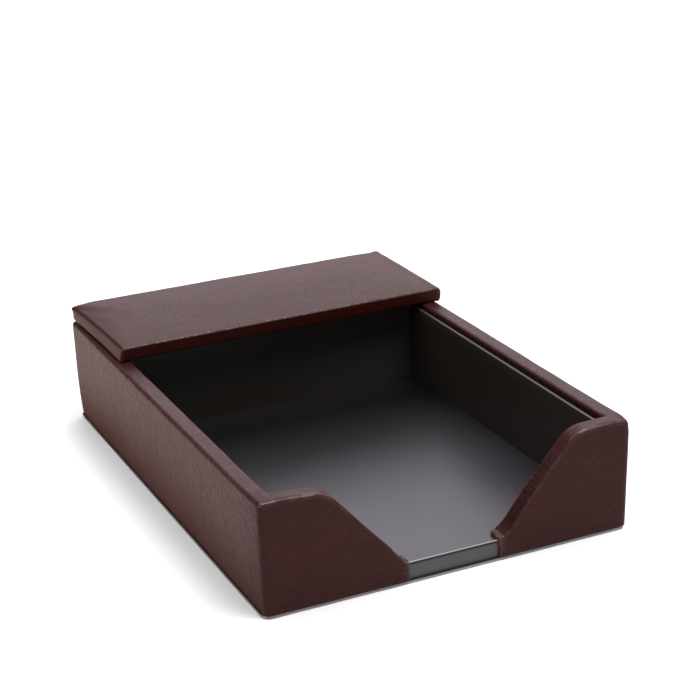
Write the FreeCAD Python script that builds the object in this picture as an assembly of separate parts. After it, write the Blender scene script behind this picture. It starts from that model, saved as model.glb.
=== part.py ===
import FreeCAD, Part
import math
import os

# Leather-covered memo tray with a padded lid over a rear compartment, in millimetres.
# The origin is the middle of the footprint on the table, +X right, -Y front, +Z up.
Vector = FreeCAD.Vector

# Case, measured over the leather
CASE_WIDTH = 121.0
WALL_TOP = 36.6
CORNER_R = 2.2
EDGE_R = 0.9
FOOT_R = 0.4

# Boards, sheets and leather
LEATHER = 0.8
WALL_BOARD = 4.3
BASE_BOARD = 5.1
FELT = 0.9
FELT_INSET = 0.4
FELT_CORNER_R = 3.0
FLOOR_LINING = 0.7
SIDE_LINING = 1.1
LINING_DROP = 1.8
DIVIDER_BOARD = 2.6
DIVIDER_LINING = 0.7

# Scooped opening between the two wings of the front wall
WING_TOP = 19.5
SLOPE_DEG = 49.5
SHOULDER_R = 8.0
TOE_LEDGE = 1.3
TOE_SPARE = 0.1
STRIP_RECESS = 0.9
STRIP_FOLD_R = 0.3
TONGUE_GAP = 0.15

# Rooms inside the lining: a tray for a pad with some play, and the compartment behind it
PAD_LENGTH = 127.0
PAD_PLAY = 1.5
COMPARTMENT_DEPTH = 30.5

# Padded lid
LID_LIP = 9.8
LID_OVERHANG = 0.2
LID_BACK_GAP = 0.5
LID_TILT_DEG = 0.8
LID_EDGE = 5.1
LID_CROWN = 0.6
LID_CROWN_RUN = 16.0
LID_TUCK = 1.2
LID_TOP_TUCK = 0.35
LID_CORNER_R = 2.2
LID_DRAW_IN = 0.4
LID_BOARD = 2.4
LID_LINING = 1.0
LID_LINING_GAP = 0.8
LID_LINING_SETBACK = 0.5
TURN_IN_LAP = 4.0

# Leather hinge strip across the back
HINGE_LEATHER = 0.8
HINGE_DROP = 12.0
HINGE_LAP = 9.0
HINGE_END_GAP = 6.0
HINGE_LINING_GAP = 1.5

# Places worked out from the sizes above
wall = WALL_BOARD + 2 * LEATHER
skin_and_board = LEATHER + WALL_BOARD
lined_wall = wall + SIDE_LINING
divider = DIVIDER_BOARD + 2 * DIVIDER_LINING
case_depth = 2 * lined_wall + PAD_LENGTH + PAD_PLAY + divider + COMPARTMENT_DEPTH
half = CASE_WIDTH / 2
back = (case_depth - HINGE_LEATHER) / 2
front = back - case_depth
base_top = FELT + BASE_BOARD
floor_top = base_top + FLOOR_LINING
lining_top = WALL_TOP - LINING_DROP
board_low = FELT + LEATHER
board_half = half - skin_and_board
room_half = half - lined_wall
slope = math.radians(SLOPE_DEG)
shoulder_half = half - WING_TOP
scoop_half = shoulder_half - (WALL_TOP - floor_top) / math.tan(slope)
toe_top = floor_top + TOE_LEDGE * math.tan(slope)
toe_r = EDGE_R + TOE_SPARE
tongue_half = scoop_half - TONGUE_GAP
divider_front = front + lined_wall + PAD_LENGTH + PAD_PLAY
divider_back = divider_front + divider
lid_under = WALL_TOP + HINGE_LEATHER
lid_back = back - LID_BACK_GAP
lid_front = divider_front - LID_LIP
hinge_y = back - EDGE_R
hinge_z = WALL_TOP - EDGE_R
leaf_front = hinge_y - HINGE_LAP
lid_drop = (leaf_front - divider_front) * math.tan(math.radians(LID_TILT_DEG))
divider_top = lid_under - LID_LINING - lid_drop


def block(x, y, z):
    """Box from three (low, high) pairs."""
    size = [high - low for low, high in (x, y, z)]
    return Part.makeBox(size[0], size[1], size[2], Vector(x[0], y[0], z[0]))


def both(value):
    return (-value, value)


def rounded_outline(corners):
    """Closed wire through (point, radius) corners, with an arc at each corner that has a radius."""
    ends = []
    for index, (corner, radius) in enumerate(corners):
        before = (corners[index - 1][0] - corner).normalize()
        after = (corners[(index + 1) % len(corners)][0] - corner).normalize()
        if radius <= 0:
            ends.append((corner, None, corner))
            continue
        half_angle = before.getAngle(after) / 2
        reach = radius / math.tan(half_angle)
        towards = (before + after).normalize()
        middle = corner + towards * (radius / math.sin(half_angle) - radius)
        ends.append((corner + before * reach, middle, corner + after * reach))
    edges = []
    for index, (start, middle, end) in enumerate(ends):
        if middle:
            edges.append(Part.Arc(start, middle, end).toShape())
        edges.append(Part.LineSegment(end, ends[(index + 1) % len(ends)][0]).toShape())
    return Part.Wire(edges)


def wing(side, inset, x_outer, y, low):
    """One side of the scooped front wall, its slope, top and end drawn in by inset."""
    shift = shoulder_half + inset / math.sin(slope)
    top = WALL_TOP - inset
    end = scoop_half + inset

    def slope_x(z):
        return shift - (WALL_TOP - z) / math.tan(slope)

    def point(x, z):
        return Vector(side * x, y[0], z)

    ledge = toe_top - inset
    if ledge > low:
        foot = [(point(end, low), 0), (point(end, ledge), toe_r - inset), (point(slope_x(ledge), ledge), 0)]
    else:
        foot = [(point(slope_x(low), low), 0)]
    shoulder = [(point(slope_x(top), top), SHOULDER_R - inset)]
    outer = [(point(x_outer, top), 0), (point(x_outer, low), 0)]
    face = Part.Face(rounded_outline(foot + shoulder + outer))
    return face.extrude(Vector(0, y[1] - y[0], 0))


def side_wall_board(side):
    x = sorted((side * board_half, side * (half - LEATHER)))
    board = block(x, (front + LEATHER, back - LEATHER), (board_low, WALL_TOP - LEATHER))
    corners = [edge for edge in board.Edges if is_board_corner(edge)]
    return board.makeFillet(CORNER_R - LEATHER, corners)


def is_board_corner(edge):
    """Upright outer edges of a side wall, rounded so that the leather is as thick there as elsewhere."""
    box = edge.BoundBox
    is_upright = box.XLength + box.YLength < 1e-6
    return is_upright and abs(box.Center.x) > board_half + WALL_BOARD / 2


def back_wall_board():
    y = (back - skin_and_board, back - LEATHER)
    return block(both(board_half), y, (board_low, WALL_TOP - LEATHER))


def wing_board(side):
    return wing(side, LEATHER, board_half, (front + LEATHER, front + skin_and_board), board_low)


def base_board():
    """Floor board between the wall boards, with a tongue to the front between the wings."""
    z = (FELT, base_top)
    floor = block(both(board_half), (front + skin_and_board, back - skin_and_board), z)
    tongue_front = front + STRIP_RECESS + FLOOR_LINING
    tongue = block(both(tongue_half), (tongue_front, front + skin_and_board), z)
    return floor.fuse(tongue).removeSplitter()


def base_felt():
    y = (front + FELT_INSET, back - FELT_INSET)
    sheet = block(both(half - FELT_INSET), y, (0, FELT))
    corners = [edge for edge in sheet.Edges if edge.BoundBox.ZLength > FELT / 2]
    return sheet.makeFillet(FELT_CORNER_R, corners)


def wall_form():
    """The covered walls as one solid ring, with the leather's round edges."""
    z = (FELT, WALL_TOP)
    ring = block(both(half), (front, back), z)
    ring = ring.cut(block(both(half - wall), (front, back - wall), z))
    for side in (-1, 1):
        ring = ring.fuse(wing(side, 0, half - wall, (front, front + wall), FELT))
    ring = ring.removeSplitter()
    for radius, is_rounded in ((CORNER_R, is_outer_corner), (EDGE_R, is_wrapped), (FOOT_R, is_foot)):
        ring = ring.makeFillet(radius, [edge for edge in ring.Edges if is_rounded(edge)])
    return ring


def is_outer_corner(edge):
    box = edge.BoundBox
    at_side = min(abs(box.XMin - half), abs(box.XMax + half)) < 1e-6
    at_end = min(abs(box.YMin - front), abs(box.YMax - back)) < 1e-6
    return at_side and at_end and box.XLength + box.YLength < 1e-6


def is_wrapped(edge):
    """Edges that the leather is folded over: the wall tops and the scoop."""
    box = edge.BoundBox
    on_top = box.ZMin > WALL_TOP - 1e-6
    on_front_wall = box.YLength < 1e-6 and min(abs(box.YMin - front), abs(box.YMin - front - wall)) < 1e-6
    on_scoop = on_front_wall and abs(box.Center.x) < half - wall - 1e-6 and box.ZLength > 1e-6
    return on_top or on_scoop


def is_foot(edge):
    """Outer bottom edges, where the leather turns in under the walls."""
    box = edge.BoundBox
    at_side = max(-box.XMin, box.XMax) > half - 1e-6
    at_end = box.YLength < 1e-6 and (box.YMin < front + 1e-6 or box.YMax > back - 1e-6)
    return box.ZMax < FELT + 1e-6 and (at_side or at_end)


def outer_leather_cover():
    cover = wall_form()
    boards = [side_wall_board(side) for side in (-1, 1)]
    boards += [wing_board(side) for side in (-1, 1)]
    boards += [back_wall_board(), base_board()]
    return cover.cut(boards)


def floor_lining():
    """Sheet over the floor and the tongue, folded down over the tongue's front edge."""
    z = (base_top, floor_top)
    strip_front = front + STRIP_RECESS
    strip_x = both(tongue_half)
    sheet = block(both(half - wall), (front + wall, back - wall), z)
    tongue = block(strip_x, (strip_front, front + wall), z)
    fold = block(strip_x, (strip_front, strip_front + FLOOR_LINING), (FELT, floor_top))
    lining = sheet.fuse([tongue, fold]).removeSplitter()
    folded = [edge for edge in lining.Edges if is_strip_fold(edge)]
    return lining.makeFillet(STRIP_FOLD_R, folded)


def is_strip_fold(edge):
    box = edge.BoundBox
    return abs(box.YMax - front - STRIP_RECESS) < 1e-6 and abs(box.ZMin - floor_top) < 1e-6


def side_lining(side):
    x = sorted((side * room_half, side * (half - wall)))
    return block(x, (front + wall, back - wall), (floor_top, lining_top))


def wing_lining(side):
    return wing(side, LINING_DROP, room_half, (front + wall, front + lined_wall), floor_top)


def back_lining():
    y = (back - lined_wall, back - wall)
    return block(both(room_half), y, (floor_top, lining_top))


def divider_board():
    y = (divider_front + DIVIDER_LINING, divider_back - DIVIDER_LINING)
    return block(both(room_half), y, (floor_top, divider_top - DIVIDER_LINING))


def divider_lining():
    wrapped = block(both(room_half), (divider_front, divider_back), (floor_top, divider_top))
    return wrapped.cut(divider_board())


def hinge_strip():
    """Leather bent over the top edge of the back wall, with a leaf on the wall and one under the lid."""
    x = half - HINGE_END_GAP
    inner = EDGE_R
    outer = EDGE_R + HINGE_LEATHER

    def point(y, z):
        return Vector(-x, hinge_y + y, hinge_z + z)

    def quarter(radius):
        at_middle = radius * math.sqrt(0.5)
        return Part.Arc(point(radius, 0), point(at_middle, at_middle), point(0, radius)).toShape()

    def line(start, end):
        return Part.LineSegment(start, end).toShape()

    edges = [
        line(point(inner, 0), point(inner, -HINGE_DROP)),
        line(point(inner, -HINGE_DROP), point(outer, -HINGE_DROP)),
        line(point(outer, -HINGE_DROP), point(outer, 0)),
        quarter(outer),
        line(point(0, outer), point(-HINGE_LAP, outer)),
        line(point(-HINGE_LAP, outer), point(-HINGE_LAP, inner)),
        line(point(-HINGE_LAP, inner), point(0, inner)),
        quarter(inner),
    ]
    outline = Part.Wire(Part.__sortEdges__(edges))
    return Part.Face(outline).extrude(Vector(2 * x, 0, 0))


def pillow_outline(inset, corner_r, z):
    """Lid outline at one height: sides drawn in between round corners."""
    x = half + LID_OVERHANG - inset
    y_low = lid_front + inset
    y_high = lid_back - inset
    y_middle = (y_low + y_high) / 2
    bow = corner_r * (1 - math.sqrt(0.5))

    def arc(*points):
        return Part.Arc(*[Vector(px, py, z) for px, py in points]).toShape()

    long_sides = []
    short_sides = []
    corners = []
    for sign, y in ((1, y_low), (-1, y_high)):
        drawn = (0, y + sign * LID_DRAW_IN)
        long_sides.append(arc((-x + corner_r, y), drawn, (x - corner_r, y)))
        for side in (-1, 1):
            start = (side * (x - corner_r), y)
            middle = (side * (x - bow), y + sign * bow)
            corners.append(arc(start, middle, (side * x, y + sign * corner_r)))
    for side in (-1, 1):
        drawn = (side * (x - LID_DRAW_IN), y_middle)
        short_sides.append(arc((side * x, y_low + corner_r), drawn, (side * x, y_high - corner_r)))
    return Part.Wire(Part.__sortEdges__(long_sides + short_sides + corners))


def pillow(skin):
    """Padded lid form, drawn in by a skin: tucked-in bulging sides below, a low crown on top."""
    low = lid_under + skin
    height = LID_EDGE - 2 * skin
    corner_r = LID_CORNER_R - skin
    sides = []
    for part in (0, 0.06, 0.2, 0.5, 0.75, 0.9, 1):
        from_middle = abs(2 * part - 1)
        below = LID_TUCK * (1 - math.sqrt(1 - from_middle ** 2))
        above = LID_TOP_TUCK * from_middle ** 2
        tuck = below if part < 0.5 else above
        sides.append(pillow_outline(skin + tuck, corner_r, low + part * height))
    crown = []
    for part in (0, 0.2, 0.45, 0.7, 1):
        inset = skin + LID_TOP_TUCK + part * LID_CROWN_RUN
        rise = LID_CROWN * math.sin(part * math.pi / 2)
        crown.append(pillow_outline(inset, corner_r, low + height + rise))
    return Part.makeLoft(sides, True, True).fuse(Part.makeLoft(crown, True, True))


def lid_slab(low, high):
    """Everything over the lid's plan between two heights."""
    reach = half + 2 * LID_OVERHANG
    return block(both(reach), (lid_front - LID_OVERHANG, lid_back + LID_OVERHANG), (low, high))


def tilted(shape):
    """The closed lid leans forward, because its rear part lies on the hinge strip."""
    return shape.rotated(Vector(0, leaf_front, lid_under), Vector(1, 0, 0), LID_TILT_DEG)


board_under = lid_under + LEATHER
board_over = board_under + LID_BOARD


def lid_board():
    return tilted(pillow(LEATHER).common(lid_slab(board_under, board_over)))


def lid_foam_pad():
    return tilted(pillow(LEATHER).common(lid_slab(board_over, lid_under + LID_EDGE + LID_CROWN)))


def turn_in_opening():
    """Middle of the lid's underside, which the turned-in leather leaves bare."""
    x, y = lining_plan(TURN_IN_LAP)
    return block(x, y, (lid_under, board_under))


def lining_plan(inset):
    x = both(half - wall - LID_LINING_GAP - inset)
    y_low = divider_front + LID_LINING_SETBACK + inset
    y_high = leaf_front - HINGE_LINING_GAP - inset
    return x, (y_low, y_high)


def lid_leather_cover():
    return tilted(pillow(0).cut([pillow(LEATHER), turn_in_opening()]))


def lid_lining_panel():
    x, y = lining_plan(0)
    plate = block(x, y, (lid_under - LID_LINING, lid_under))
    return tilted(plate.fuse(turn_in_opening()).removeSplitter())


nodes = {
    "base_board": base_board(),
    "base_felt": base_felt(),
    "left_wall_board": side_wall_board(-1),
    "right_wall_board": side_wall_board(1),
    "back_wall_board": back_wall_board(),
    "front_left_wing_board": wing_board(-1),
    "front_right_wing_board": wing_board(1),
    "outer_leather_cover": outer_leather_cover(),
    "floor_lining": floor_lining(),
    "left_lining": side_lining(-1),
    "right_lining": side_lining(1),
    "front_left_lining": wing_lining(-1),
    "front_right_lining": wing_lining(1),
    "back_lining": back_lining(),
    "divider_board": divider_board(),
    "divider_lining": divider_lining(),
    "lid_hinge_strip": hinge_strip(),
    "lid_board": lid_board(),
    "lid_foam_pad": lid_foam_pad(),
    "lid_leather_cover": lid_leather_cover(),
    "lid_lining_panel": lid_lining_panel(),
}

os.makedirs("parts", exist_ok=True)
for name, shape in nodes.items():
    shape.exportStep("parts/" + name + ".step")
    print(name, "solids", len(shape.Solids), "valid", shape.isValid(), "volume", round(shape.Volume, 1))
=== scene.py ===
import bmesh
import bpy
import math
from mathutils import Matrix, Vector, noise
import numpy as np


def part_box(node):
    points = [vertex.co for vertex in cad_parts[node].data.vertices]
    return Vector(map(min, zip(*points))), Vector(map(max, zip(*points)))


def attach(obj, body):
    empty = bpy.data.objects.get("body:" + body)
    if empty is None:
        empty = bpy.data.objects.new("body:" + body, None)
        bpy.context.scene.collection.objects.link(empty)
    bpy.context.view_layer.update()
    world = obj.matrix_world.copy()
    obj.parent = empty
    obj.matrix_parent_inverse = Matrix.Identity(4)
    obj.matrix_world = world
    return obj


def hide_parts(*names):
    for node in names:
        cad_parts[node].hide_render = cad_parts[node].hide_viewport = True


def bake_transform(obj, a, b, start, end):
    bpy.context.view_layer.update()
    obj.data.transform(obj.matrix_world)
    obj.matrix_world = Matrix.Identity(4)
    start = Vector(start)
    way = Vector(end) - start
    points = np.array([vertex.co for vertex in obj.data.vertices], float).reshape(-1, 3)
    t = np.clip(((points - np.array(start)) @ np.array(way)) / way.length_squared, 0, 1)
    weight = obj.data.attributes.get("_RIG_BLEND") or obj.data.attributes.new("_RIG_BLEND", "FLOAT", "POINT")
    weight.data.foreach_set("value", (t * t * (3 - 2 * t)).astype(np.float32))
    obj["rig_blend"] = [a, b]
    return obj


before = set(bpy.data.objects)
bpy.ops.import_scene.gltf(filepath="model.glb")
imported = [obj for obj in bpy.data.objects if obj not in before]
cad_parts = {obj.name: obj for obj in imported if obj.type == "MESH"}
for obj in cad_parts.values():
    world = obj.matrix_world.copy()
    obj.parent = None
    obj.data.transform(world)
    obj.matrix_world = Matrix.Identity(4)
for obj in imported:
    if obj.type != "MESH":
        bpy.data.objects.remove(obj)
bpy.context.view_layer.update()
scene = bpy.context.scene
mm = 0.001

# places that several pieces share, read from the frame
caseLow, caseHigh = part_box("outer_leather_cover")
sideLow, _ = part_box("left_lining")
wall = sideLow.x - caseLow.x
floorTop = sideLow.z
scoop = {"shoulderHalf": 41 * mm, "slope": math.radians(49.5), "ledge": 1.3 * mm}
scoop["floorHalf"] = scoop["shoulderHalf"] - (caseHigh.z - floorTop) / math.tan(scoop["slope"])
scoop["ledgeTop"] = floorTop + scoop["ledge"] * math.tan(scoop["slope"])


def clampUnit(value):
    return min(1, max(0, value))


def fade(distance, reach):
    # 1 at no distance, down to 0 at the reach
    return max(0, 1 - distance / reach)


def deselectAll():
    if bpy.context.object and bpy.context.object.mode != "OBJECT":
        bpy.ops.object.mode_set(mode="OBJECT")
    bpy.ops.object.select_all(action="DESELECT")


def makeActive(piece):
    deselectAll()
    piece.select_set(True)
    bpy.context.view_layer.objects.active = piece


def editPiece(piece):
    makeActive(piece)
    bpy.ops.object.mode_set(mode="EDIT")
    return bmesh.from_edit_mesh(piece.data)


def pickFaces(piece, test):
    form = editPiece(piece)
    bpy.ops.mesh.select_mode(type="FACE")
    bpy.ops.mesh.select_all(action="DESELECT")
    for face in form.faces:
        if test(face.calc_center_median(), face.normal):
            face.select_set(True)
    bmesh.update_edit_mesh(piece.data)


def pickEdges(piece, test):
    form = editPiece(piece)
    bpy.ops.mesh.select_mode(type="EDGE")
    bpy.ops.mesh.select_all(action="DESELECT")
    for edge in form.edges:
        if test(edge, edge.verts[0].co, edge.verts[1].co):
            edge.select_set(True)
    bmesh.update_edit_mesh(piece.data)


def addBox(name, low, high):
    deselectAll()
    low, high = Vector(low), Vector(high)
    bpy.ops.mesh.primitive_cube_add(size=1, location=(low + high) / 2)
    piece = bpy.context.object
    piece.name = name
    piece.scale = high - low
    bpy.ops.object.transform_apply(location=True, rotation=True, scale=True)
    return piece


def bevelPicked(width, segments):
    bpy.ops.mesh.bevel(offset=width, offset_type="OFFSET", segments=segments, profile=0.5,
                       affect="EDGES", clamp_overlap=True)


def extrudePicked(move):
    bpy.ops.mesh.extrude_region_move(TRANSFORM_OT_translate={"value": move})


def sliceEvery(piece, axis, step):
    # cuts the whole piece across one axis at even steps
    low = min(vertex.co[axis] for vertex in piece.data.vertices)
    high = max(vertex.co[axis] for vertex in piece.data.vertices)
    count = max(1, round((high - low) / step))
    normal = [0, 0, 0]
    normal[axis] = 1
    editPiece(piece)
    for index in range(1, count):
        place = [0, 0, 0]
        place[axis] = low + (high - low) * index / count
        bpy.ops.mesh.select_all(action="SELECT")
        bpy.ops.mesh.bisect(plane_co=place, plane_no=normal)


def sharpConvex(edge):
    return len(edge.link_faces) == 2 and edge.calc_face_angle_signed(0) > 0.6


def tidyMesh(piece):
    editPiece(piece)
    bpy.ops.mesh.select_all(action="SELECT")
    bpy.ops.mesh.remove_doubles(threshold=0.004 * mm)
    bpy.ops.mesh.normals_make_consistent(inside=False)
    makeActive(piece)
    bpy.ops.object.shade_smooth_by_angle(angle=math.radians(40))


def applyModifier(piece, modifier):
    makeActive(piece)
    bpy.ops.object.modifier_apply(modifier=modifier.name)


def ripple(piece, size, depth, seed):
    # slow unevenness of a glued sheet, along the normals
    makeActive(piece)
    normals = [vertex.normal.copy() for vertex in piece.data.vertices]
    for vertex, normal in zip(piece.data.vertices, normals):
        swell = noise.noise(vertex.co / size + Vector((seed, 2 * seed, 0)))
        vertex.co += normal * (swell * depth)
    piece.data.update()


def addMasks(piece, *names):
    # all values per vertex are made first, since each new one moves those before it
    for name in names:
        piece.data.attributes.new(name, "FLOAT", "POINT")
    return [piece.data.attributes[name].data for name in names]


def finishPiece(piece, body, material, slot, *nodes):
    deselectAll()
    piece.data.materials.clear()
    piece.data.materials.append(material)
    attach(piece, body)
    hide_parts(*nodes)


# materials
def newMaterial(name):
    material = bpy.data.materials.new(name)
    material.use_nodes = True
    tree = material.node_tree
    return material, tree, tree.nodes["Principled BSDF"]


def addNode(tree, kind, inputs=None, **settings):
    node = tree.nodes.new(kind)
    for name, value in settings.items():
        setattr(node, name, value)
    for name, value in (inputs or {}).items():
        if isinstance(value, bpy.types.NodeSocket):
            tree.links.new(value, node.inputs[name])
        else:
            node.inputs[name].default_value = value
    return node


def mathNode(tree, operation, first, second, clamp=False):
    node = addNode(tree, "ShaderNodeMath", {0: first, 1: second}, operation=operation, use_clamp=clamp)
    return node.outputs[0]


def rangeNode(tree, value, fromMin, fromMax, toMin, toMax, smooth=False):
    kind = "SMOOTHSTEP" if smooth else "LINEAR"
    node = addNode(tree, "ShaderNodeMapRange", {"Value": value, "From Min": fromMin, "From Max": fromMax,
                                                "To Min": toMin, "To Max": toMax}, interpolation_type=kind)
    return node.outputs["Result"]


def mixColour(tree, amount, first, second, blend="MIX"):
    node = addNode(tree, "ShaderNodeMix", {0: amount, 6: first, 7: second}, data_type="RGBA",
                   blend_type=blend)
    return node.outputs[2]


def newGroup(name, inputs, outputs):
    group = bpy.data.node_groups.new(name, "ShaderNodeTree")
    for label, kind in inputs:
        group.interface.new_socket(name=label, in_out="INPUT", socket_type=kind)
    for label, kind in outputs:
        group.interface.new_socket(name=label, in_out="OUTPUT", socket_type=kind)
    return group, group.nodes.new("NodeGroupInput"), group.nodes.new("NodeGroupOutput")


def maskNode(tree, name):
    return addNode(tree, "ShaderNodeAttribute", attribute_name=name).outputs["Fac"]


def vectorNode(tree, operation, first, second):
    key = "Scale" if operation == "SCALE" else 1
    return addNode(tree, "ShaderNodeVectorMath", {0: first, key: second}, operation=operation).outputs[0]


def noiseNode(tree, place, scale, detail, **others):
    inputs = {"Vector": place, "Scale": scale, "Detail": detail, **others}
    return addNode(tree, "ShaderNodeTexNoise", inputs).outputs


def bumpNode(tree, height, distance, strength=1.0):
    inputs = {"Height": height, "Strength": strength, "Distance": distance}
    return addNode(tree, "ShaderNodeBump", inputs).outputs["Normal"]


def linkLook(tree, shader, colour, rough, bump):
    tree.links.new(colour, shader.inputs["Base Color"])
    tree.links.new(rough, shader.inputs["Roughness"])
    tree.links.new(bump, shader.inputs["Normal"])


grainShape = {"slant": -0.5, "drift": 1.3, "soft": 0.4, "pebbleEdge": (0.05, 0.62), "wrinkles": 0.6,
              "pores": 6.0, "tones": 0.2, "pebbleHeight": 0.4, "wrinkleHeight": 0.7, "poreHeight": 0.035}


def makeGrainGroup():
    # hide: long flat pebbles lying aslant, fine pores and a slow change of tone
    look = grainShape
    group, given, result = newGroup(
        "hideGrain",
        [("Place", "NodeSocketVector"), ("Pebbles", "NodeSocketFloat"), ("Stretch", "NodeSocketFloat")],
        [("Height", "NodeSocketFloat"), ("Valley", "NodeSocketFloat"), ("Tone", "NodeSocketFloat")])
    place, pebbles = given.outputs["Place"], given.outputs["Pebbles"]
    aslant = addNode(group, "ShaderNodeVectorRotate", {"Vector": place, "Angle": look["slant"]},
                     rotation_type="X_AXIS")
    flat = addNode(group, "ShaderNodeCombineXYZ", {"X": 1.0, "Y": 1.0, "Z": given.outputs["Stretch"]})
    laid = vectorNode(group, "MULTIPLY", aslant.outputs[0], flat.outputs[0])
    warp = noiseNode(group, laid, pebbles, 2.0)["Color"]
    centred = vectorNode(group, "SUBTRACT", warp, (0.5, 0.5, 0.5))
    drift = vectorNode(group, "SCALE", centred, mathNode(group, "DIVIDE", look["drift"], pebbles))
    warped = vectorNode(group, "ADD", laid, drift)
    cells = addNode(group, "ShaderNodeTexVoronoi", {"Vector": warped, "Scale": pebbles,
                                                   "Smoothness": look["soft"]}, feature="SMOOTH_F1")
    pebble = rangeNode(group, cells.outputs["Distance"], *look["pebbleEdge"], 1.0, 0.0, smooth=True)
    wrinkle = noiseNode(group, warped, mathNode(group, "MULTIPLY", pebbles, look["wrinkles"]), 3.0)["Fac"]
    pores = noiseNode(group, place, mathNode(group, "MULTIPLY", pebbles, look["pores"]), 2.0)["Fac"]
    tone = noiseNode(group, place, mathNode(group, "MULTIPLY", pebbles, look["tones"]), 3.0)["Fac"]
    height = mathNode(group, "MULTIPLY", pebble, look["pebbleHeight"])
    height = mathNode(group, "ADD", height, mathNode(group, "MULTIPLY", wrinkle, look["wrinkleHeight"]))
    height = mathNode(group, "ADD", height, mathNode(group, "MULTIPLY", pores, look["poreHeight"]))
    group.links.new(height, result.inputs["Height"])
    group.links.new(mathNode(group, "SUBTRACT", 1.0, pebble), result.inputs["Valley"])
    group.links.new(tone, result.inputs["Tone"])
    return group


grainGroup = makeGrainGroup()


def grainNode(tree, place, pebbles, stretch):
    return addNode(tree, "ShaderNodeGroup", {"Place": place, "Pebbles": pebbles, "Stretch": stretch},
                   node_tree=grainGroup).outputs


leatherFinishes = {
    "caseHide": {"colour": (0.033, 0.0082, 0.0078, 1), "valley": (0.028, 0.0068, 0.0065, 1), "pebbles": 400.0,
                 "stretch": 2.8, "depth": 0.2 * mm, "roughLow": 0.38, "roughHigh": 0.46},
    "lidHide": {"colour": (0.0265, 0.0034, 0.0022, 1), "valley": (0.024, 0.003, 0.0019, 1), "pebbles": 700.0,
                "stretch": 1.4, "depth": 0.013 * mm, "roughLow": 0.4, "roughHigh": 0.46},
}
# hide colours: the rubbed colour is partly wear and partly a painted highlight on the folds, the near-black
# one is painted shade, and the greyer foot colour stands in for reflected light at the foot of the sides
hide = {
    "rubbedAndHighlit": (0.19, 0.105, 0.095, 1),
    "paintedShade": (0.004, 0.0012, 0.001, 1),
    "dustAndReflection": (0.027, 0.0205, 0.02, 1),
    "mattedPaintedFoot": 0.88,
    "tones": (0.92, 1.08),
    "foldSqueeze": (0.2, 0.12, 1.0),
    "foldScale": 2200.0,
    "foldCrest": (0.52, 0.72),
    "foldWornAndHighlit": 0.18,
    "foldHeight": 1.6,
    "calmed": 0.25,
    "polish": 0.6,
}
hideSockets = {"IOR": 1.2, "Sheen Weight": 0.21, "Sheen Tint": (1, 0.25, 0.17, 1), "Sheen Roughness": 0.32,
               "Coat Roughness": 0.2}


def makeLeather(name):
    look = leatherFinishes[name]
    material, tree, shader = newMaterial(name)
    place = addNode(tree, "ShaderNodeTexCoord").outputs["Object"]
    grain = grainNode(tree, place, look["pebbles"], look["stretch"])
    shade = rangeNode(tree, grain["Valley"], 0.3, 1.0, 0.0, 1.0)
    colour = mixColour(tree, shade, look["colour"], look["valley"])
    lift = rangeNode(tree, grain["Tone"], 0.3, 0.7, *hide["tones"])
    grey = addNode(tree, "ShaderNodeCombineColor", {0: lift, 1: lift, 2: lift}).outputs[0]
    colour = mixColour(tree, 1.0, colour, grey, "MULTIPLY")
    # lighter on the raised grain where edges are worn and where folds are painted lighter as a highlight
    raised = rangeNode(tree, grain["Height"], 0.3, 0.8, 0.3, 1.0)
    wornAndLit = mathNode(tree, "MULTIPLY", maskNode(tree, "rubbedAndHighlit"), raised, True)
    colour = mixColour(tree, wornAndLit, colour, hide["rubbedAndHighlit"])
    # fine creases across the slopes, their crests a little rubbed and painted lighter as a highlight
    creased = maskNode(tree, "creased")
    squeezed = vectorNode(tree, "MULTIPLY", place, hide["foldSqueeze"])
    folds = noiseNode(tree, squeezed, hide["foldScale"], 2.0)["Fac"]
    crests = rangeNode(tree, folds, *hide["foldCrest"], 0.0, hide["foldWornAndHighlit"])
    colour = mixColour(tree, mathNode(tree, "MULTIPLY", creased, crests, True), colour, hide["rubbedAndHighlit"])
    # painted shade: inner faces, wall tops under the lid and the slopes darkened
    colour = mixColour(tree, maskNode(tree, "paintedShade"), colour, hide["paintedShade"])
    # the foot of the sides is rougher, and its colour is painted greyer there to stand in for reflected light
    mattedPaintedFoot = maskNode(tree, "mattedPaintedFoot")
    colour = mixColour(tree, mattedPaintedFoot, colour, hide["dustAndReflection"])
    rough = rangeNode(tree, grain["Valley"], 0.0, 1.0, look["roughLow"], look["roughHigh"])
    rough = rangeNode(tree, mattedPaintedFoot, 0.0, 1.0, rough, hide["mattedPaintedFoot"])
    calm = rangeNode(tree, maskNode(tree, "calm"), 0.0, 1.0, 1.0, hide["calmed"])
    height = mathNode(tree, "MULTIPLY", grain["Height"], calm)
    foldHeight = mathNode(tree, "MULTIPLY", mathNode(tree, "MULTIPLY", creased, folds), hide["foldHeight"])
    bump = bumpNode(tree, mathNode(tree, "ADD", height, foldHeight), look["depth"])
    linkLook(tree, shader, colour, rough, bump)
    patches = rangeNode(tree, grain["Height"], 0.3, 0.7, 0.4, 1.0)
    polished = mathNode(tree, "MULTIPLY", maskNode(tree, "polished"), patches, True)
    tree.links.new(mathNode(tree, "MULTIPLY", polished, hide["polish"]), shader.inputs["Coat Weight"])
    for socket, value in hideSockets.items():
        shader.inputs[socket].default_value = value
    return material


liningFinishes = {
    "wallLining": {"colour": (0.0228, 0.0182, 0.0148, 1), "dustAndReflection": (0.026, 0.0214, 0.0177, 1), "ior": 1.4},
    # the divider's copy of the lining is darker, painted shade under the lid
    "dividerLiningShaded": {"colour": (0.0168, 0.0132, 0.0106, 1), "dustAndReflection": (0.0188, 0.0152, 0.0124, 1),
                      "ior": 1.4},
    "floorLining": {"colour": (0.0215, 0.0195, 0.0235, 1), "dustAndReflection": (0.0245, 0.0222, 0.0262, 1), "ior": 1.37},
}
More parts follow.
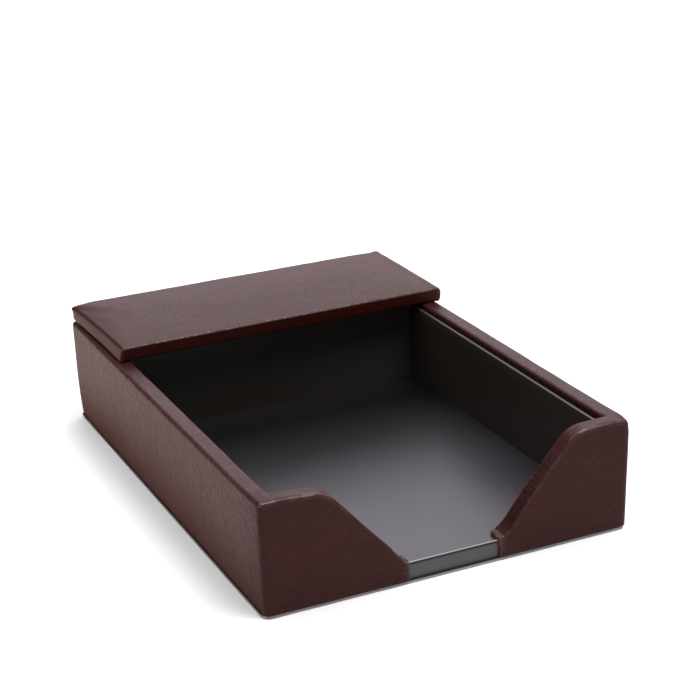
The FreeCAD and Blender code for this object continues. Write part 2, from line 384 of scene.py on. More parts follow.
# lining tints: a near-black painted shade, a grey painted light for the strip face and a pale painted
# highlight for edges
satin = {"paintedLiningShade": (0.003, 0.0024, 0.002, 1), "paintedStripLight": (0.057, 0.058, 0.061, 1), "paleAndHighlight": (0.3, 0.3, 0.305, 1),
         "roughLow": 0.33, "roughHigh": 0.36, "pebbles": 1500.0, "stretch": 1.0, "clouds": 35.0,
         "depth": 0.003 * mm}


def makeLining(name):
    look = liningFinishes[name]
    material, tree, shader = newMaterial(name)
    place = addNode(tree, "ShaderNodeTexCoord").outputs["Object"]
    grain = grainNode(tree, place, satin["pebbles"], satin["stretch"])
    cloud = noiseNode(tree, place, satin["clouds"], 3.0)["Fac"]
    dust = rangeNode(tree, cloud, 0.3, 0.7, 0.0, 1.0)
    colour = mixColour(tree, dust, look["colour"], look["dustAndReflection"])
    # painted shade, painted light on the strip face and painted highlights on edges
    for tint in ("paintedLiningShade", "paintedStripLight", "paleAndHighlight"):
        colour = mixColour(tree, maskNode(tree, tint), colour, satin[tint])
    rough = rangeNode(tree, cloud, 0.3, 0.7, satin["roughLow"], satin["roughHigh"])
    linkLook(tree, shader, colour, rough, bumpNode(tree, grain["Height"], satin["depth"]))
    shader.inputs["IOR"].default_value = look["ior"]
    return material


# painted shade on the top of the felt, where it lies in the shadow under the leather
feltShade = {"colour": (0.012, 0.012, 0.012, 1), "blur": 0.05 * mm}
fibreFinishes = {
    "greyFelt": {"colours": ((0.2, 0.2, 0.2, 1), (0.28, 0.28, 0.28, 1)), "scale": 1400.0, "rough": 0.88,
                 "depth": 0.1 * mm, "feltShadeFrom": 0.8 * mm},
    "fibreboard": {"colours": ((0.14, 0.09, 0.05, 1), (0.24, 0.165, 0.1, 1)), "scale": 700.0, "rough": 0.8,
                   "depth": 0.08 * mm},
}


def makeFibreMaterial(name):
    # felt and fibreboard: matted fibres in two tones, the felt painted dark as shade above a height
    look = fibreFinishes[name]
    material, tree, shader = newMaterial(name)
    place = addNode(tree, "ShaderNodeTexCoord").outputs["Object"]
    fibres = noiseNode(tree, place, look["scale"], 6.0, Roughness=0.7, Distortion=1.5)["Fac"]
    colour = mixColour(tree, rangeNode(tree, fibres, 0.3, 0.7, 0.0, 1.0), *look["colours"])
    if "feltShadeFrom" in look:
        height = addNode(tree, "ShaderNodeSeparateXYZ", {0: place}).outputs["Z"]
        shadedTop = rangeNode(tree, height, look["feltShadeFrom"], look["feltShadeFrom"] + feltShade["blur"], 0.0, 1.0)
        colour = mixColour(tree, shadedTop, colour, feltShade["colour"])
    rough = rangeNode(tree, fibres, 0.3, 0.7, look["rough"], min(1.0, look["rough"] + 0.1))
    linkLook(tree, shader, colour, rough, bumpNode(tree, fibres, look["depth"], 0.8))
    return material


caseHide = makeLeather("caseHide")
lidHide = makeLeather("lidHide")
wallLining = makeLining("wallLining")
shadedDividerSheet = makeLining("dividerLiningShaded")
floorSheet = makeLining("floorLining")
feltFinish = makeFibreMaterial("greyFelt")
boardFinish = makeFibreMaterial("fibreboard")
print("materials ready")

# leather-covered walls
caseLeather = {
    "cornerRound": 1.7 * mm,
    "outerFold": 1.3 * mm,
    "innerFold": 1.1 * mm,
    "footFold": 0.4 * mm,
    "endFold": 0.6 * mm,
    "toeFold": 0.8 * mm,
    "shoulderRound": 3.7 * mm,
    "step": 1.5 * mm,
    "bead": 0.12 * mm,
    "cornerSwell": {"left": 0, "right": 1.0 * mm},
    "cornerDrop": {"left": 0.3 * mm, "right": 1.1 * mm},
    "cornerPull": {"left": 0.8 * mm, "right": 0},
    "cornerSoft": {"left": 0, "right": 0.6 * mm},
    "footTuck": {"left": 0.85 * mm, "right": 0.3 * mm},
    "tuckHeight": 15 * mm,
    "slopeSag": 0.5 * mm,
    "shoulderDip": {"left": 1.1 * mm, "right": 0.4 * mm},
    "scoopShift": 1.35 * mm,
    "toeCrumple": 0.35 * mm,
    "lumpStarts": (14.4, 36.8, 71.5),
    "toeFlap": {"left": 0.3 * mm, "right": 0.8 * mm},
    "toeShift": {"left": 0, "right": 1.05 * mm},
    "toeDrop": {"left": 1.1 * mm, "right": 0},
    "toeLean": {"left": 0, "right": 0.6 * mm},
    "toeWorn": {"left": 0.1, "right": 0.3},
    "creaseStep": 0.5 * mm,
    "cornerReach": 16 * mm,
    "dropReach": 7 * mm,
    "softReach": 5 * mm,
    "mattedTop": 0.85,
    "slopeReach": 2.5 * mm,
    "slopeEnd": 0.85,
    "shoulderReach": 9 * mm,
    "foldWornAndHighlit": 0.2,
    "lumpSizes": (1.7 * mm, 4 * mm),
    "toeReach": 3.5 * mm,
    "toeRise": 1.2 * mm,
    "dropRun": 7 * mm,
    "leanRun": 5 * mm,
    "toeEdge": (1.1 * mm, 7 * mm),
    "creases": ((0.40, 0.08, 1.1), (0.44, 0.12, 0.5), (0.475, 0.16, 0.9), (0.50, 0.14, 0.3),
                (0.55, 0.16, 1.0), (0.60, 0.1, 0.5), (0.68, 0.08, 0.8)),
    "creaseWidth": 0.38 * mm,
    "rippleSize": 11 * mm,
    "rippleDepth": 0.09 * mm,
    "lidFront": 37.5 * mm,
    "lidBlur": 3 * mm,
    "foldBlur": 1 * mm,
    "underLid": 0.85,
    "slopeShade": 0.5,
}


def near(value, target):
    return abs(value - target) < 0.02 * mm


def endOf(x):
    return "left" if x < 0 else "right"


def shiftScoop(piece):
    # the scoop was cut a little to the right of the middle
    for vertex in piece.data.vertices:
        if vertex.co.y < caseLow.y + wall + 1.5 * mm:
            fromSide = clampUnit((caseHigh.x - 2 * mm - abs(vertex.co.x)) / (12 * mm))
            vertex.co.x += caseLeather["scoopShift"] * fromSide * fromSide * (3 - 2 * fromSide)
    piece.data.update()


def onInnerSide(point):
    return (abs(point.x) < caseHigh.x - wall + 0.02 * mm and point.y > caseLow.y + wall - 0.02 * mm
            and point.y < caseHigh.y - wall + 0.02 * mm)


def foldWidth(edge, a, b):
    # how wide each sharp edge of the walls is rolled over
    look = caseLeather
    if not sharpConvex(edge):
        return 0
    if near(a.z, caseLow.z) and near(b.z, caseLow.z):
        return look["footFold"]
    if near(a.x, b.x) and near(a.y, b.y):
        return look["endFold"]
    if min(abs(a.x), abs(b.x)) < scoop["floorHalf"] + scoop["ledge"] + 0.1 * mm:
        return look["toeFold"] if near(a.x, b.x) else look["endFold"]
    return look["innerFold"] if onInnerSide(a) and onInnerSide(b) else look["outerFold"]


def rollEdges(piece, widthOf, segments):
    form = editPiece(piece)
    weights = form.edges.layers.float
    layer = weights.get("bevel_weight_edge") or weights.new("bevel_weight_edge")
    widths = {edge.index: widthOf(edge, edge.verts[0].co, edge.verts[1].co) for edge in form.edges}
    widest = max(widths.values())
    for edge in form.edges:
        edge[layer] = widths[edge.index] / widest
    bmesh.update_edit_mesh(piece.data)
    makeActive(piece)
    roll = piece.modifiers.new("rolled edges", "BEVEL")
    roll.limit_method = "WEIGHT"
    roll.width = widest
    roll.segments = segments
    roll.use_clamp_overlap = False
    applyModifier(piece, roll)


def slopePlace(point):
    # how far up the wing's slope a point is, from 0 to 1, and its height over the slope
    side = 1 if point.x > 0 else -1
    foot = Vector((side * (scoop["floorHalf"] + scoop["ledge"]), 0, scoop["ledgeTop"]))
    along = Vector((side * math.cos(scoop["slope"]), 0, math.sin(scoop["slope"])))
    outward = Vector((-side * math.sin(scoop["slope"]), 0, math.cos(scoop["slope"])))
    length = (caseHigh.z - scoop["ledgeTop"]) / math.sin(scoop["slope"])
    return (point - foot).dot(along) / length, (point - foot).dot(outward), along, outward, length


def onFrontWall(point):
    return point.y < caseLow.y + wall + 0.1 * mm


def buildCaseLeather():
    look = caseLeather
    piece = addBox("caseLeather", caseLow, caseHigh)
    pickFaces(piece, lambda centre, normal: abs(normal.z) > 0.9)
    bpy.ops.mesh.inset(thickness=wall, use_individual=True)
    bpy.ops.mesh.delete(type="FACE")
    pickEdges(piece, lambda edge, a, b: edge.is_boundary)
    bpy.ops.mesh.bridge_edge_loops()

    # scoop in the front wall
    cutter = addBox("scoopCutter", (-scoop["floorHalf"], caseLow.y - 5 * mm, caseLow.z - 5 * mm),
                    (scoop["floorHalf"], caseLow.y + wall + 5 * mm, scoop["ledgeTop"]))
    slopeFoot = scoop["floorHalf"] + scoop["ledge"]
    rise = caseHigh.z + 5 * mm - scoop["ledgeTop"]
    pickFaces(cutter, lambda centre, normal: normal.z > 0.9)
    extrudePicked((0, 0, 0))
    bpy.ops.transform.resize(value=(slopeFoot / scoop["floorHalf"], 1, 1), center_override=(0, 0, 0))
    extrudePicked((0, 0, rise))
    opened = slopeFoot + rise / math.tan(scoop["slope"])
    bpy.ops.transform.resize(value=(opened / slopeFoot, 1, 1), center_override=(0, 0, 0))
    tidyMesh(cutter)
    cut = piece.modifiers.new("scoop", "BOOLEAN")
    cut.object = cutter
    cut.operation = "DIFFERENCE"
    cut.solver = "EXACT"
    applyModifier(piece, cut)
    bpy.data.objects.remove(cutter)

    # rounded shoulders, then every other edge rolled over at once
    pickEdges(piece, lambda edge, a, b: near(a.z, caseHigh.z) and near(b.z, caseHigh.z)
              and near(abs(a.x), scoop["shoulderHalf"]) and near(a.x, b.x))
    bevelPicked(look["shoulderRound"], 10)
    pickEdges(piece, lambda edge, a, b: near(abs(a.x), caseHigh.x) and near(a.x, b.x) and near(a.y, b.y)
              and (near(a.y, caseLow.y) or near(a.y, caseHigh.y)))
    bevelPicked(look["cornerRound"], 5)
    rollEdges(piece, foldWidth, 5)
    for axis in (0, 1, 2):
        sliceEvery(piece, axis, look["step"])
    sliceSlopes(piece)
    tidyMesh(piece)
    shapeHide(piece)
    shiftScoop(piece)
    ripple(piece, look["rippleSize"], look["rippleDepth"], 3.1)
    finishPiece(piece, "case", caseHide, "leather", "outer_leather_cover", "front_left_wing_board",
                "front_right_wing_board", "left_wall_board", "right_wall_board", "back_wall_board")
    print("case leather", len(piece.data.polygons), "faces")


def lumpsAt(place):
    # uneven shift of a crumpled fold, the same in each run
    return Vector([noise.noise(place + Vector((start, 0, 0))) for start in caseLeather["lumpStarts"]])


def sliceSlopes(piece):
    # fine cuts across both slopes, where the hide is creased
    for side in (-1, 1):
        middle = Vector((side * (scoop["floorHalf"] + scoop["shoulderHalf"]) / 2, 0, 0))
        start, over, along, outward, length = slopePlace(middle)
        foot = middle - along * (start * length) - outward * over
        for index in range(int(0.4 * length / caseLeather["creaseStep"])):
            cutPlace = foot + along * (0.36 * length + index * caseLeather["creaseStep"])
            pickFaces(piece, lambda centre, normal: centre.x * side > 0 and onFrontWall(centre)
                      and abs(slopePlace(centre)[1]) < caseLeather["slopeReach"]
                      and abs((centre - cutPlace).dot(along)) < 2 * mm)
            bpy.ops.mesh.bisect(plane_co=cutPlace, plane_no=along)


def maskSides(point, normal, height):
    # rougher foot of the sides with a painted greyer tone, inner faces painted black as shade and painted
    # shade on the wall tops under the lid, as (foot, painted shade)
    look = caseLeather
    if abs(point.x) > caseHigh.x - wall / 2 and abs(normal.x) > 0.93:
        return max(0, 1 - height / look["mattedTop"]) ** 2.6, 0
    # inner faces of the walls painted black as shade
    if onInnerSide(point) and abs(normal.x) > 0.5:
        return 0, 1
    # painted shade on the wall tops under the lid
    if normal.z > 0.8 and height > 0.97:
        covered = clampUnit((point.y - look["lidFront"]) / look["lidBlur"])
        inward = clampUnit((caseHigh.x - look["outerFold"] - abs(point.x)) / look["foldBlur"])
        return 0, look["underLid"] * covered * inward
    return 0, 0


def shapeCorner(vertex, point, normal, height):
    # swollen or drawn-in front corners where the hide is folded double, and the tucked foot of the sides
    look = caseLeather
    side, end = math.copysign(1, point.x), endOf(point.x)
    fromCorner = (point - Vector((side * caseHigh.x, caseLow.y, point.z))).length
    reach = fade(fromCorner, look["cornerReach"]) ** 2
    vertex.co += Vector((side, -0.6, 0)) * (look["cornerSwell"][end] * reach * (1.3 * height - 0.5))
    vertex.co.x -= side * look["cornerPull"][end] * reach
    if abs(normal.x) > 0.5 and abs(point.x) > caseHigh.x - wall / 2:
        tuck = fade(point.z - caseLow.z, look["tuckHeight"]) ** 2
        vertex.co.x -= side * look["footTuck"][end] * tuck * (1 - reach)
    vertex.co.z -= look["cornerDrop"][end] * fade(fromCorner, look["dropReach"]) ** 2 * height ** 4
    fromTip = (point - Vector((side * caseHigh.x, caseLow.y, caseHigh.z))).length
    soft = look["cornerSoft"][end] * fade(fromTip, look["softReach"]) ** 2
    vertex.co += Vector((-side, 0.5, -0.4)) * soft


def creaseDepth(point, part, length):
    # depths of the creases that cross the slope at a point
    across = (point.y - caseLow.y) / wall - 0.5
    inside = clampUnit((across + 0.42) / 0.2)
    for place, depth, tilt in caseLeather["creases"]:
        off = (part - place) * length - tilt * across * 3 * mm
        yield inside * depth * mm * math.exp(-(off / caseLeather["creaseWidth"]) ** 2)


def shapeToe(vertex, point, normal, rubbedAndHighlit):
    # crumpled, pushed-in and rubbed ends of the wings
    look = caseLeather
    side, end = math.copysign(1, point.x), endOf(point.x)
    fromEnd = abs(point.x) - scoop["floorHalf"]
    toe = fade(fromEnd, look["toeReach"])
    small, large = look["lumpSizes"]
    lumps = lumpsAt(point / small) + lumpsAt(point / large)
    vertex.co += lumps * (look["toeCrumple"] * toe * toe)
    rear = (point.y - caseLow.y) / wall
    top = clampUnit((point.z - floorTop) / look["toeRise"])
    vertex.co.x -= side * toe * (look["toeShift"][end] + look["toeFlap"][end] * rear * top)
    vertex.co.z -= look["toeDrop"][end] * top * fade(fromEnd, look["dropRun"])
    vertex.co.z -= look["toeLean"][end] * top * fade(fromEnd, look["leanRun"]) * (1 - rear)
    edgeWidth, edgeHeight = look["toeEdge"]
    fold = fade(fromEnd, edgeWidth) * fade(abs(point.z - scoop["ledgeTop"]), edgeHeight)
    rubbedAndHighlit.value += min(1, 0.8 * fold + max(0, lumps.z) * toe * 0.4)
    if normal.x * side < -0.3 or normal.z > 0.5:
        rubbedAndHighlit.value += look["toeWorn"][end] * toe


def shapeHide(piece):
    # faults of the hand-made cover: corners, a bead along the front folds, creased slopes and crumpled toes
    look = caseLeather
    rubbedAndHighlit, polished, calm, creased, mattedPaintedFoot, paintedShade = addMasks(piece, "rubbedAndHighlit", "polished", "calm", "creased",
                                                              "mattedPaintedFoot", "paintedShade")
    normals = [vertex.normal.copy() for vertex in piece.data.vertices]
    for vertex, normal in zip(piece.data.vertices, normals):
        index = vertex.index
        point = vertex.co.copy()
        height = (point.z - caseLow.z) / (caseHigh.z - caseLow.z)
        calm[index].value = clampUnit((normal.z - 0.7) / 0.2)
        mattedPaintedFoot[index].value, paintedShade[index].value = maskSides(point, normal, height)
        shapeCorner(vertex, point, normal, height)
        if not onFrontWall(point):
            continue
        part, over, _, outward, length = slopePlace(point)
        onSlope = abs(over) < look["slopeReach"]
        # a bead along the front folds, glossier and painted lighter as wear and highlight
        if normal.y < -0.3 and normal.z > 0.15:
            vertex.co += normal * look["bead"]
            polished[index].value = 1
            rubbedAndHighlit[index].value = look["foldWornAndHighlit"] if -0.85 < normal.y < -0.45 else 0
        if onSlope and 0 < part < look["slopeEnd"]:
            sag = look["slopeSag"] * math.sin(part / look["slopeEnd"] * math.pi)
            vertex.co.x -= sag * (1 - abs(over) / look["slopeReach"])
        fromShoulder = (abs(point.x) - scoop["shoulderHalf"]) / look["shoulderReach"]
        vertex.co.z -= look["shoulderDip"][endOf(point.x)] * math.exp(-fromShoulder ** 2) * height ** 3
        if onSlope and normal.dot(outward) > 0.3:
            for depth in creaseDepth(point, part, length):
                vertex.co -= outward * depth
            creased[index].value = fade(abs(part - 0.48), 0.3) ** 0.5
            # the slopes painted darker as shade
            paintedShade[index].value = look["slopeShade"] * clampUnit((look["slopeEnd"] - part) / 0.2)
        if point.z < scoop["ledgeTop"] + 4 * mm:
            shapeToe(vertex, point, normal, rubbedAndHighlit[index])
    piece.data.update()


buildCaseLeather()

# padded lid, modelled level and then leaned on the divider
coverLow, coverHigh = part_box("lid_leather_cover")
lidUnder = caseHigh.z + 0.8 * mm
lidCover = {
    "low": Vector((coverLow.x, 36.8 * mm, lidUnder)),
    "high": Vector((coverHigh.x, 87.6 * mm, lidUnder + 5.05 * mm)),
    "lean": math.radians(0.8),
    "leanPlace": Vector((0, 78.2 * mm, lidUnder)),
    "cornerRound": {"left": 1.1 * mm, "right": 1.7 * mm},
    "underRound": 0.9 * mm,
    "frontFold": 0.7 * mm,
    "endFold": {"left": 0.9 * mm, "right": 2.0 * mm},
    "endSlant": {"left": (1.1 * mm, -0.3 * mm), "right": (0, 0)},
    "rearFold": 0.9 * mm,
    "step": 1.3 * mm,
    "heldBelow": 2.4 * mm,
    "heldFront": 1.0 * mm,
    "grow": 10,
    "pressure": 4.0,
    "frames": 20,
    "crown": 0.95 * mm,
    "evened": 12,
    "endRun": 9 * mm,
    "endDrop": {"left": 0.25 * mm, "right": 0},
    "endPlump": {"left": 0, "right": 0.55 * mm},
    "endSag": {"left": 0.3 * mm, "right": 0},
    "endBulge": {"left": 0, "right": 0.7 * mm},
    "drawIn": {"left": 0.4 * mm, "right": -0.2 * mm},
    "rearDrawIn": 0.4 * mm,
    "corners": {"left": (1.9 * mm, 0.55 * mm), "right": (0.9 * mm, 0.4 * mm)},
    "rearLift": 0.62 * mm,
    "ear": {"left": 0.9 * mm, "right": 0.2 * mm},
    "earFrom": (0.96, 0.86),
    "slantRun": 6 * mm,
    "plumpRun": 3.5 * mm,
    "liftRun": 6 * mm,
    "ripples": ((16 * mm, 0.08 * mm, 5.7), (5 * mm, 0.03 * mm, 2.3)),
    "frontPolish": 0.7,
    "frontWornAndHighlit": 0.45,
}


def lidEdge(edge, a, b):
    look = lidCover
    low = look["low"]
    if not sharpConvex(edge):
        return 0
    if near(a.x, b.x) and near(a.y, b.y):
        return look["cornerRound"][endOf(a.x)]
    if near(a.z, low.z) and near(b.z, low.z):
        return look["underRound"]
    if near(a.x, b.x):
        return look["endFold"][endOf(a.x)]
    return look["frontFold"] if near(a.y, low.y) else look["rearFold"]


def puffLid(piece):
    # the cover is blown up over its pad: the sides and the front fold are held, the top is free
    look = lidCover
    rest = [vertex.co.copy() for vertex in piece.data.vertices]
    held = piece.vertex_groups.new(name="held")
    heldBelow = look["high"].z - look["heldBelow"]
    for vertex in piece.data.vertices:
        if vertex.co.z < heldBelow or vertex.co.y < look["low"].y + look["heldFront"]:
            held.add([vertex.index], 1, "REPLACE")
    piece.data.transform(Matrix.Scale(look["grow"], 4))
    cloth = piece.modifiers.new("puff", "CLOTH")
    cloth.settings.use_pressure = True
    cloth.settings.uniform_pressure_force = look["pressure"]
    cloth.settings.vertex_group_mass = held.name
    cloth.settings.effector_weights.gravity = 0
    cloth.settings.quality = 5
    cloth.point_cache.frame_start = 1
    cloth.point_cache.frame_end = look["frames"]
    for frameNumber in range(1, look["frames"] + 1):
        scene.frame_set(frameNumber)
        bpy.context.view_layer.update()
    applyModifier(piece, cloth)
    scene.frame_set(1)
    piece.data.transform(Matrix.Scale(1 / look["grow"], 4))
    piece.vertex_groups.clear()
    rises = [vertex.co - start for vertex, start in zip(piece.data.vertices, rest)]
    highest = max(rise.z for rise in rises)
    print("lid puffed up by", round(highest / mm, 3), "mm before it is evened out")
    for vertex, start, rise in zip(piece.data.vertices, rest, rises):
        vertex.co = start + rise * (look["crown"] / highest)
    top = piece.vertex_groups.new(name="top")
    for vertex, start in zip(piece.data.vertices, rest):
        inside = min(start.y - look["low"].y, look["high"].y - start.y, look["high"].x - abs(start.x))
        if start.z > look["high"].z - 0.1 * mm and inside > 2.5 * mm:
            top.add([vertex.index], 1, "REPLACE")
    even = piece.modifiers.new("even top", "SMOOTH")
    even.vertex_group = top.name
    even.factor = 0.5
    even.iterations = look["evened"]
    applyModifier(piece, even)


def settleLid(piece):
    # sides pulled in between the corners, the top a little skewed, the rear corners drawn out to ears
    look = lidCover
    low, high = look["low"], look["high"]
    middleY = (low.y + high.y) / 2
    for vertex in piece.data.vertices:
        point = vertex.co.copy()
        across = point.x / high.x
        along = (point.y - middleY) / (high.y - middleY)
        height = (point.z - low.z) / (high.z - low.z)
        end = endOf(across)
        side = math.copysign(1, across)
        toEnd = (1 - abs(across)) * high.x
        upper = clampUnit(2 * height - 1)
        vertex.co.x -= across * look["drawIn"][end] * (1 - along * along)
        vertex.co.y -= along * look["rearDrawIn"] * (1 - across * across) * max(0, along)
        front, rear = look["corners"][end]
        vertex.co.x += (front + (rear - front) * (along + 1) / 2) * abs(across)
        front, rear = look["endSlant"][end]
        slant = front + (rear - front) * (along + 1) / 2
        vertex.co.x += slant * clampUnit(height) * fade(toEnd, look["slantRun"])
        fromEnd = fade(toEnd, look["endRun"])
        vertex.co.z -= look["endDrop"][end] * fromEnd * fromEnd * upper
        bulge = math.copysign(look["endBulge"][end], across)
        vertex.co.x += bulge * fromEnd ** 6 * max(0, 4 * height * (1 - height))
        nearEnd = fade(toEnd, look["plumpRun"])
        vertex.co.z += look["endPlump"][end] * nearEnd * nearEnd * (2 * height - 1)
        vertex.co.z -= look["endSag"][end] * nearEnd * max(0, 1 - height)
        lift = math.cos(math.pi / 2 * clampUnit((across + 1) / 2) ** 1.5)
        lift *= min(1, (1 + across) * high.x / look["liftRun"])
        vertex.co.z += look["rearLift"] * max(0, lift) * max(0, along) ** 1.5 * upper
        earAcross, earAlong = look["earFrom"]
        corner = max(0, abs(across) - earAcross) / 0.04 * max(0, along - earAlong) / 0.14
        pinch = clampUnit(height) ** 4 - 2 * max(0, height * (1 - height))
        vertex.co += Vector((side * pinch, 0.3 * pinch, -max(0, pinch))) * (look["ear"][end] * corner)


def buildLid():
    look = lidCover
    low, high = look["low"], look["high"]
    piece = addBox("paddedLid", low, high)
    rollEdges(piece, lidEdge, 6)
    for axis in (0, 1, 2):
        sliceEvery(piece, axis, look["step"])
    tidyMesh(piece)
    puffLid(piece)
    settleLid(piece)
    for size, depth, seed in look["ripples"]:
        ripple(piece, size, depth, seed)
    polished, rubbedAndHighlit = addMasks(piece, "polished", "rubbedAndHighlit")
    # the front fold glossier, and painted lighter as wear and highlight
    for vertex in piece.data.vertices:
        if vertex.normal.y < -0.2 and vertex.normal.z > 0.2:
            polished[vertex.index].value = look["frontPolish"]
            rubbedAndHighlit[vertex.index].value = look["frontWornAndHighlit"]
    leanLid(piece)
    tidyMesh(piece)
    finishPiece(piece, "lid", lidHide, "leather", "lid_leather_cover", "lid_foam_pad", "lid_board")
    print("padded lid", len(piece.data.polygons), "faces")


def leanLid(piece):
    turn = Matrix.Rotation(lidCover["lean"], 4, "X")
    place = Matrix.Translation(lidCover["leanPlace"])
    piece.data.transform(place @ turn @ place.inverted())


buildLid()

# lining sheets
linings = {
    "sheet": 0.7 * mm,
    "edge": 0.35 * mm,
    "step": 4 * mm,
    "rippleSize": 30 * mm,
    "rippleDepth": 0.05 * mm,
    "lip": 0.35 * mm,
    "lipRound": 0.22 * mm,
    "stripFoot": 0.35 * mm,
    "stripHang": 0.1 * mm,
    "stripShade": 0.4 * mm,
    "stripLine": 0.05 * mm,
    "edgeHighlight": 0.27,
    "highlightFall": 0.7,
    "tipCut": 2.6 * mm,
    "wingShoulder": 2.9 * mm,
    "lowered": {"leftLining": (0.5 * mm, 0.5 * mm), "rightLining": (0.5 * mm, 0.05 * mm)},
    "shadeFrom": -25 * mm,
    "shadeRun": 60 * mm,
    "rearLight": 0.4,
    "rearFrom": 28 * mm,
    "rearRun": 16 * mm,
    "dividerRound": 0.7 * mm,
    "dividerLight": 0.04,
    "panelRound": 0.4 * mm,
}


def finishLining(piece, seed, material, *nodes):
    for axis in (0, 1, 2):
        sliceEvery(piece, axis, linings["step"])
    tidyMesh(piece)
    ripple(piece, linings["rippleSize"], linings["rippleDepth"], seed)
    finishPiece(piece, "case", material, "lining", *nodes)


def buildPanel(name, node, seed):
    low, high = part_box(node)
    piece = addBox(name, low, high)
    pickEdges(piece, lambda edge, a, b: near(a.z, high.z) and near(b.z, high.z))
    bevelPicked(linings["edge"], 3)
    finishLining(piece, seed, wallLining, node)
    front, rear = linings["lowered"].get(name, (0, 0))
    paleAndHighlight, = addMasks(piece, "paleAndHighlight")
    length = high.y - low.y
    for vertex in piece.data.vertices:
        # painted highlight along the top edge, fading towards the rear as painted shade
        if vertex.co.z > high.z - 0.3 * mm:
            fall = linings["highlightFall"] * (vertex.co.y - low.y) / length
            paleAndHighlight[vertex.index].value = linings["edgeHighlight"] * (1 - fall)
        if vertex.co.z > high.z - 1 * mm:
            vertex.co.z -= front + (rear - front) * (vertex.co.y - low.y) / length
    piece.data.update()


def buildWingLining(name, node, side, seed):
    low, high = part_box(node)
    inner = low.x if side > 0 else high.x
    piece = addBox(name, low, high)
    # the slope is cut off by a plane through the foot of the panel
    editPiece(piece)
    bpy.ops.mesh.select_all(action="SELECT")
    outward = Vector((-side * math.sin(scoop["slope"]), 0, math.cos(scoop["slope"])))
    bpy.ops.mesh.bisect(plane_co=(inner, low.y, low.z), plane_no=outward, use_fill=True, clear_outer=True)
    bpy.ops.mesh.select_all(action="SELECT")
    bpy.ops.mesh.bisect(plane_co=(inner + side * linings["tipCut"], 0, 0), plane_no=(-side, 0, 0),
                        use_fill=True, clear_outer=True)
    pickEdges(piece, lambda edge, a, b: near(a.z, high.z) and near(b.z, high.z) and near(a.x, b.x)
              and near(abs(a.x), abs(inner) + (high.z - low.z) / math.tan(scoop["slope"])))
    bevelPicked(linings["wingShoulder"], 8)
    pickEdges(piece, lambda edge, a, b: sharpConvex(edge) and max(a.z, b.z) > low.z + 0.1 * mm
              and near(a.y, high.y) and near(b.y, high.y))
    bevelPicked(linings["edge"], 3)
    finishLining(piece, seed, wallLining, node)
    shiftScoop(piece)


def buildFloorLining():
    # the sheet and, under its front edge, the strip that covers the end of the base
    look = linings
    low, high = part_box("floor_lining")
    tongueHalf = scoop["floorHalf"] - 0.15 * mm
    sheetFront = caseLow.y + wall
    sheetUnder = floorTop - look["sheet"]
    stripFace = low.y + look["lip"]
    stripBack = low.y + look["sheet"]
    shadeEnd = sheetUnder - look["stripShade"]
    footTop = low.z - look["stripHang"] + look["stripFoot"]
    top = sheetUnder
    piece = addBox("floorLining", (low.x, sheetFront, sheetUnder), high)
    editPiece(piece)
    for place in (-tongueHalf, tongueHalf):
        bpy.ops.mesh.select_all(action="SELECT")
        bpy.ops.mesh.bisect(plane_co=(place, 0, 0), plane_no=(1, 0, 0))
    pickFaces(piece, lambda centre, normal: normal.y < -0.9 and abs(centre.x) < tongueHalf)
    extrudePicked((0, stripBack - sheetFront, 0))
    extrudePicked((0, stripFace - stripBack, 0))
    extrudePicked((0, -look["lip"], 0))
    pickFaces(piece, lambda centre, normal: normal.z < -0.9 and abs(centre.x) < tongueHalf
              and stripFace < centre.y < stripBack)
    for place in (shadeEnd, shadeEnd - look["stripLine"], footTop, footTop - look["stripLine"]):
        extrudePicked((0, 0, place - top))
        top = place
    extrudePicked((0, 0, low.z - look["stripHang"] - top))
    pickEdges(piece, lambda edge, a, b: near(a.y, low.y) and near(b.y, low.y) and near(a.z, b.z))
    bevelPicked(look["lipRound"], 3)
    finishLining(piece, 1.3, floorSheet, "floor_lining")
    shiftTongue(piece, sheetFront)
    paintedStripLight, paleAndHighlight, paintedLiningShade = addMasks(piece, "paintedStripLight", "paleAndHighlight", "paintedLiningShade")
    for vertex in piece.data.vertices:
        # painted shade on the floor growing towards the rear, less at the very rear
        shade = clampUnit((vertex.co.y - look["shadeFrom"]) / look["shadeRun"])
        rearward = clampUnit((vertex.co.y - look["rearFrom"]) / look["rearRun"])
        paintedLiningShade[vertex.index].value = shade * (1 - look["rearLight"] * rearward)
        # the strip painted dark as shade, its face between the shade lines painted lighter as light from the
        # floor, and the lip's front edge painted as a highlight
        if vertex.co.z < floorTop - 0.3 * mm:
            paintedLiningShade[vertex.index].value = 1
        if footTop - 0.02 * mm < vertex.co.z < shadeEnd - 0.02 * mm:
            paintedStripLight[vertex.index].value = 1
        if vertex.co.y < low.y + 0.3 * mm and vertex.co.z > floorTop - 0.15 * mm:
            paleAndHighlight[vertex.index].value = 1


def shiftTongue(piece, sheetFront):
    for vertex in piece.data.vertices:
        if vertex.co.y < sheetFront - 0.1 * mm:
            vertex.co.x += caseLeather["scoopShift"]
    piece.data.update()


def buildDivider():
    low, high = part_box("divider_lining")
    piece = addBox("dividerLiningShaded", low, high)
    pickEdges(piece, lambda edge, a, b: near(a.z, high.z) and near(b.z, high.z) and near(a.y, b.y))
    bevelPicked(linings["dividerRound"], 4)
    finishLining(piece, 7.9, shadedDividerSheet, "divider_lining")
    paleAndHighlight, = addMasks(piece, "paleAndHighlight")
    # painted light that grows towards the right end of the divider
    for vertex in piece.data.vertices:
        paleAndHighlight[vertex.index].value = linings["dividerLight"] * clampUnit((vertex.co.x + 5 * mm) / (45 * mm))


